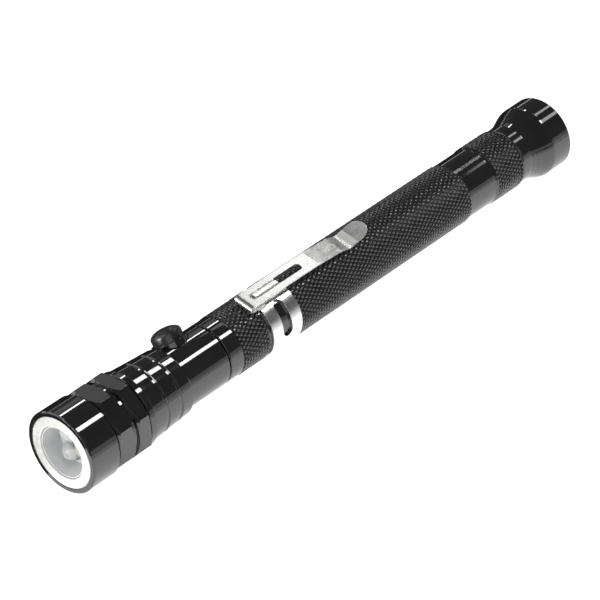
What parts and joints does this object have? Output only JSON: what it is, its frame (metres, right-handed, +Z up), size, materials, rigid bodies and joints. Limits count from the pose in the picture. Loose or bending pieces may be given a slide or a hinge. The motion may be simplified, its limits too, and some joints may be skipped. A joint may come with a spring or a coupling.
{
  "type": "magnetic pickup tool",
  "caption": "Pen-sized lighted magnetic pickup tool: a magnet-ringed lamp head on a flexible neck and telescoping mast, stowed in a knurled barrel with a pocket clip.",
  "frame": {"origin": "centre of the tail magnet's outer face", "axes": "+X along the tool's axis from tail to lamp, +Z up through the middle of the pocket clip's arm, +Y to the left seen from behind the tail"},
  "size_m": [0.168, 0.0208, 0.0208],
  "materials": {
    "black_gloss": "gloss black anodised aluminium",
    "black_grip": "satin black anodised, diamond knurled aluminium",
    "magnet_nickel": "satin nickel plating over neodymium magnet",
    "lamp_grey": "grey moulded plastic",
    "led_clear": "water-clear epoxy",
    "board_green": "solder mask",
    "brass": "drawn brass",
    "cell_steel": "nickel-plated steel can",
    "sleeve_plastic": "thin insulating tube",
    "switch_black": "moulded switch case",
    "switch_white": "moulded nylon",
    "button_black": "gloss black",
    "seal_rubber": "black nitrile rubber",
    "neck_steel": "satin nickel-plated coil",
    "mast_chrome": "bright plated drawn tube",
    "bush_plastic": "black acetal",
    "clip_steel": "bright plated spring steel",
    "plate_steel": "plain steel"
  },
  "bodies": {
    "barrel": {"barrel": "black_grip", "mast_sleeve": "mast_chrome", "mast_bush_front": "bush_plastic", "mast_bush_rear": "bush_plastic", "tail_cap": "black_gloss", "tail_magnet": "magnet_nickel", "magnet_plate": "plate_steel"},
    "stage_1": {"mast_tube_1": "mast_chrome", "mast_shoe_1": "brass"},
    "stage_2": {"mast_tube_2": "mast_chrome", "mast_shoe_2": "brass"},
    "stage_3": {"mast_tube_3": "mast_chrome", "mast_shoe_3": "brass"},
    "stage_4": {"mast_tube_4": "mast_chrome", "mast_shoe_4": "brass"},
    "stage_5": {"mast_tube_5": "mast_chrome", "mast_shoe_5": "brass"},
    "stage_6": {"mast_rod": "mast_chrome", "mast_shoe_6": "brass"},
    "neck_base": {"neck_rear_ferrule": "neck_steel"},
    "neck_1": {"neck_link_7": "neck_steel", "neck_link_6": "neck_steel"},
    "neck_2": {"neck_link_5": "neck_steel", "neck_link_4": "neck_steel", "neck_link_3": "neck_steel"},
    "neck_3": {"neck_link_2": "neck_steel", "neck_link_1": "neck_steel"},
    "head": {"neck_front_ferrule": "neck_steel", "neck_nut": "plate_steel", "battery_housing": "black_gloss", "battery_sleeve": "sleeve_plastic", "button_cell_1": "cell_steel", "button_cell_2": "cell_steel", "button_cell_3": "cell_steel", "button_cell_4": "cell_steel", "rear_contact": "brass", "switch_body": "switch_black", "button_collar": "black_gloss"},
    "button": {"button_cap": "button_black", "switch_plunger": "switch_white"},
    "bezel_seal": {"bezel_o_ring": "seal_rubber"},
    "bezel": {"bezel": "black_gloss", "ring_magnet": "magnet_nickel", "led_cup": "lamp_grey", "led_1": "led_clear", "led_2": "led_clear", "led_3": "led_clear", "led_board": "board_green", "battery_spring": "brass"},
    "clip_band": {"clip_band": "clip_steel"},
    "clip_arm": {"clip_arm": "clip_steel"}
  },
  "joints": [
    {"name": "stage_1_slide", "type": "slide", "parent": "barrel", "child": "stage_1", "axis": [1, 0, 0], "range_m": [0, 0.06]},
    {"name": "stage_2_slide", "type": "slide", "parent": "stage_1", "child": "stage_2", "axis": [1, 0, 0], "range_m": [0, 0.06]},
    {"name": "stage_3_slide", "type": "slide", "parent": "stage_2", "child": "stage_3", "axis": [1, 0, 0], "range_m": [0, 0.06]},
    {"name": "stage_4_slide", "type": "slide", "parent": "stage_3", "child": "stage_4", "axis": [1, 0, 0], "range_m": [0, 0.06]},
    {"name": "stage_5_slide", "type": "slide", "parent": "stage_4", "child": "stage_5", "axis": [1, 0, 0], "range_m": [0, 0.06]},
    {"name": "stage_6_slide", "type": "slide", "parent": "stage_5", "child": "stage_6", "axis": [1, 0, 0], "range_m": [0, 0.06]},
    {"name": "head_turn", "type": "hinge", "parent": "stage_6", "child": "neck_base", "pos_m": [0.079, 0, 0], "axis": [1, 0, 0], "continuous": true},
    {"name": "neck_bend_1", "type": "hinge", "parent": "neck_base", "child": "neck_1", "pos_m": [0.082, 0, 0], "axis": [0, 0, 1], "range_deg": [0, 10]},
    {"name": "neck_bend_2", "type": "hinge", "parent": "neck_1", "child": "neck_2", "pos_m": [0.09257, 0, 0], "axis": [0, 0, 1], "range_deg": [0, 10]},
    {"name": "neck_bend_3", "type": "hinge", "parent": "neck_2", "child": "neck_3", "pos_m": [0.10843, 0, 0], "axis": [0, 0, 1], "range_deg": [0, 10]},
    {"name": "neck_bend_4", "type": "hinge", "parent": "neck_3", "child": "head", "pos_m": [0.119, 0, 0], "axis": [0, 0, 1], "range_deg": [0, 10]},
    {"name": "button_press", "type": "slide", "parent": "head", "child": "button", "axis": [0, 0.7071, -0.7071], "range_m": [0, 0.001], "stiffness_N_per_m": 1500, "springref_m": -0.001},
    {"name": "bezel_rise", "type": "slide", "parent": "head", "child": "bezel_seal", "axis": [1, 0, 0], "range_m": [0, 0.0063]},
    {"name": "bezel_turn", "type": "hinge", "parent": "bezel_seal", "child": "bezel", "pos_m": [0.154, 0, 0], "axis": [1, 0, 0], "range_deg": [0, 1800]},
    {"name": "clip_turn", "type": "hinge", "parent": "barrel", "child": "clip_band", "pos_m": [0.1025, 0, 0], "axis": [1, 0, 0], "continuous": true},
    {"name": "clip_flex", "type": "hinge", "parent": "clip_band", "child": "clip_arm", "pos_m": [0.10995, 0, 0.00895], "axis": [0, 1, 0], "range_deg": [0, 5], "stiffness_Nm_per_rad": 3.2, "springref_deg": -2.86}
  ],
  "couplings": [
    {"joint": "neck_bend_1", "follows": "stage_1_slide", "rad_per_m": 2.9088},
    {"joint": "neck_bend_2", "follows": "stage_1_slide", "rad_per_m": 2.9088},
    {"joint": "neck_bend_3", "follows": "stage_1_slide", "rad_per_m": 2.9088},
    {"joint": "neck_bend_4", "follows": "stage_1_slide", "rad_per_m": 2.9088},
    {"joint": "bezel_rise", "follows": "bezel_turn", "m_per_rad": 0.00019894}
  ]
}
